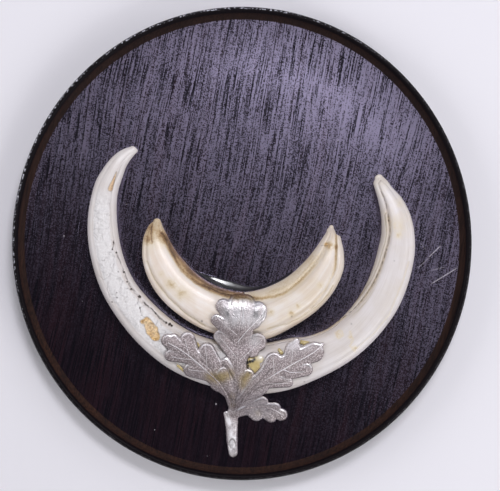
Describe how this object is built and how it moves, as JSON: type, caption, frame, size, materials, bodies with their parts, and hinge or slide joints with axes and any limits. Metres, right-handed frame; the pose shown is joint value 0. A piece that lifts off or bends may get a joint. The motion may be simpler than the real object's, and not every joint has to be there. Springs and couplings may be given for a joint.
{
  "type": "boar tusk trophy",
  "caption": "Long and short boar tusks fixed as two crescents on a round dark wooden plaque, their roots covered by a cast silver oak sprig.",
  "frame": {"origin": "centre of the plaque's flat back, on the surface that it lies on", "axes": "+Z out of the front, away from the flat back; +Y towards the top of the trophy, from the sprig's stem to the tusks' tips; +X to the right, seen from the front"},
  "size_m": [0.2707, 0.2788, 0.0355],
  "materials": {
    "plaque_wood": "ebonised, satin, with open grain and a worn brown rim",
    "lower_tusk_chalky": "polished ivory with a rough chalky band",
    "lower_tusk_smooth": "polished ivory",
    "upper_tusk_left": "polished ivory with brown stains",
    "upper_tusk_right": "polished ivory with brown stains",
    "sprig_silver": "cast, stippled, with polished edges and ribs",
    "putty": "glossy black"
  },
  "bodies": {
    "root": {"plaque": "plaque_wood", "tusk_lower_left": "lower_tusk_chalky", "tusk_lower_right": "lower_tusk_smooth", "tusk_upper_left": "upper_tusk_left", "tusk_upper_right": "upper_tusk_right", "oak_sprig": "sprig_silver", "putty_bed": "putty"}
  },
  "joints": []
}
